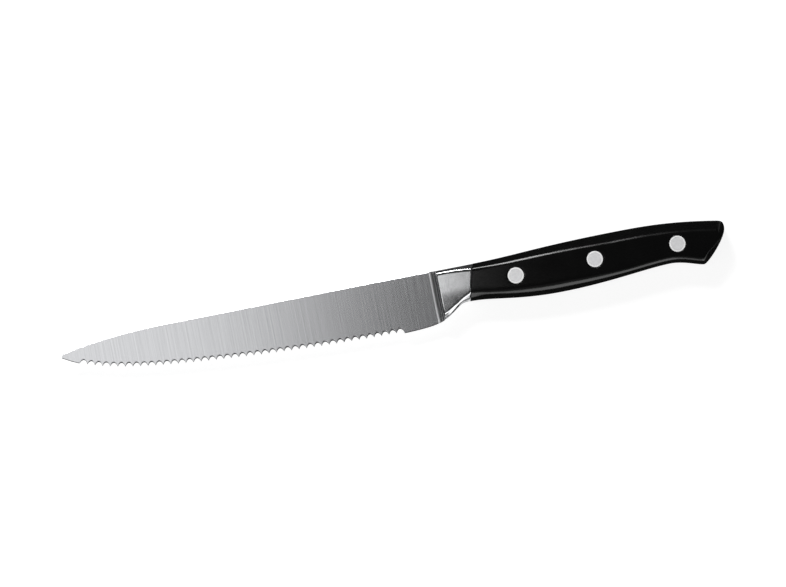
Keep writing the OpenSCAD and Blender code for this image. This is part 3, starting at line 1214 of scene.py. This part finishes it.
def pale_floor():
    """White from above and clear from below."""
    material = bpy.data.materials.new("pale_floor")
    n = Tree(material)
    n.nodes.clear()
    out = n.add("ShaderNodeOutputMaterial")
    base = n.add("ShaderNodeBsdfDiffuse")
    base.inputs["Color"].default_value = (FLOOR_ALBEDO, FLOOR_ALBEDO, FLOOR_ALBEDO, 1)
    either = n.add("ShaderNodeMixShader")
    n.link(n.add("ShaderNodeNewGeometry").outputs["Backfacing"], either.inputs[0])
    n.link(lifted_white(n, base).outputs[0], either.inputs[1])
    n.link(n.add("ShaderNodeBsdfTransparent").outputs[0], either.inputs[2])
    n.link(either.outputs[0], out.inputs[0])
    return material


def make_floor():
    code = bmesh.new()
    bmesh.ops.create_circle(code, cap_ends=True, segments=FLOOR_STEPS, radius=FLOOR_R)
    for vert in code.verts:
        vert.co.z = -FLOOR_DROP
    floor = piece("floor", code, [pale_floor()])


def glow_panel(n, place, last, way, core, fade, level):
    """Adds a soft round patch of light to the world, seen at angles from its centre in degrees."""
    toward = n.add("ShaderNodeVectorMath", operation="DOT_PRODUCT")
    n.link(place, toward.inputs[0])
    toward.inputs[1].default_value = Vector(way).normalized()
    reach = n.add("ShaderNodeMapRange", interpolation_type="SMOOTHSTEP")
    n.link(toward.outputs["Value"], reach.inputs["Value"])
    reach.inputs["From Min"].default_value = math.cos(math.radians(fade))
    reach.inputs["From Max"].default_value = math.cos(math.radians(core))
    scaled = n.add("ShaderNodeMath", operation="MULTIPLY")
    n.link(reach.outputs[0], scaled.inputs[0])
    scaled.inputs[1].default_value = level
    return n.math("ADD", scaled.outputs[0], last)


def make_world():
    """Dark studio overhead, with a white cove around the horizon and one soft panel."""
    world = bpy.data.worlds.new("studio")
    bpy.context.scene.world = world
    n = Tree(world)
    place = n.add("ShaderNodeTexCoord").outputs["Generated"]
    split = n.add("ShaderNodeSeparateXYZ")
    cove = n.add("ShaderNodeValToRGB")
    n.link(place, split.inputs[0])
    n.link(split.outputs["Z"], cove.inputs[0])
    first, last = cove.color_ramp.elements
    first.position, first.color = COVE_TOP, COVE_WHITE
    last.position, last.color = DARK_FROM, STUDIO_DARK
    light = glow_panel(n, place, cove.outputs[0], way=(-0.64, 0.64, 0.45), core=10, fade=32,
                       level=0.55)
    n.link(light, n.nodes["Background"].inputs["Color"])


def lamp(name, kind, at, aim, power, **settings):
    """A lamp that the camera doesn't see."""
    data = bpy.data.lights.new(name, kind)
    data.energy = power
    for key, value in settings.items():
        setattr(data, key, value)
    thing = bpy.data.objects.new(name, data)
    bpy.context.scene.collection.objects.link(thing)
    thing.location = at
    thing.rotation_euler = (Vector(aim) - Vector(at)).to_track_quat("-Z", "Y").to_euler()
    thing.visible_camera = False


def soft_box(name, at, aim, width, depth, brightness):
    """An even rectangle of light, with its brightness against white."""
    lamp(name, "AREA", at, aim, brightness * math.pi * width * depth,
         shape="RECTANGLE", size=width, size_y=depth)


def far_light(name, lean, turn, spread, brightness):
    """A soft disc of light far off to one side, with its brightness against white."""
    half, lean, turn = math.radians(spread) / 2, math.radians(lean), math.radians(turn)
    way = (math.sin(lean) * math.sin(turn), -math.sin(lean) * math.cos(turn), math.cos(lean))
    lamp(name, "SUN", way, (0, 0, 0), brightness * math.pi * math.sin(half) ** 2,
         angle=2 * half)


def make_lights():
    soft_box("overhead_box", at=(-0.255, -0.075, 0.6), aim=(-0.255, -0.075, 0),
             width=0.44, depth=0.11, brightness=1.15)
    soft_box("overhead_strip", at=(-0.208, 0.03, 0.6), aim=(-0.208, 0.03, 0),
             width=0.44, depth=0.1, brightness=1.0)
    soft_box("spine_side_box", at=(-0.085, 0.57, 0.57), aim=(-0.085, 0, 0),
             width=0.3, depth=0.3, brightness=17.0)
    far_light("edge_side_soft", lean=44, turn=0, spread=40, brightness=0.12)
    far_light("edge_side_core", lean=54, turn=3, spread=24, brightness=2.5)
    far_light("edge_side_rear", lean=57, turn=31, spread=28, brightness=1.7)
    far_light("edge_side_front", lean=54, turn=-24, spread=22, brightness=1.6)


def make_camera():
    """A long lens straight above the knife, turned as the photo is."""
    data = bpy.data.cameras.new("camera")
    data.lens, data.sensor_width = LENS, SENSOR
    camera = bpy.data.objects.new("camera", data)
    bpy.context.scene.collection.objects.link(camera)
    distance = PICTURE_W * PX_MM * LENS / SENSOR
    camera.location = (CENTRE[0] * MM, CENTRE[1] * MM, (ORIGIN.z + distance) * MM)
    camera.rotation_euler = (0, 0, ROLL)
    data.clip_end = CLIP_END
    bpy.context.scene.camera = camera


def main():
    steel = [ground_steel(), polished_steel("polished_steel", low=0.13, high=0.17),
             tang_steel(), polished_steel("hollow_steel", low=0.27, high=0.33)]
    plastic = black_plastic()
    metal = [rivet_face(), rivet_painted_highlight(), rivet_side()]
    build_forging(steel)
    build_scale("left_scale", 1, plastic)
    build_scale("right_scale", -1, plastic)
    for name in RIVETS:
        build_rivet(name, "post", metal)
        build_rivet(name, "sleeve", metal)
    make_floor()
    make_world()
    make_lights()
    make_camera()
    bpy.context.scene.view_settings.view_transform = "Standard"


main()
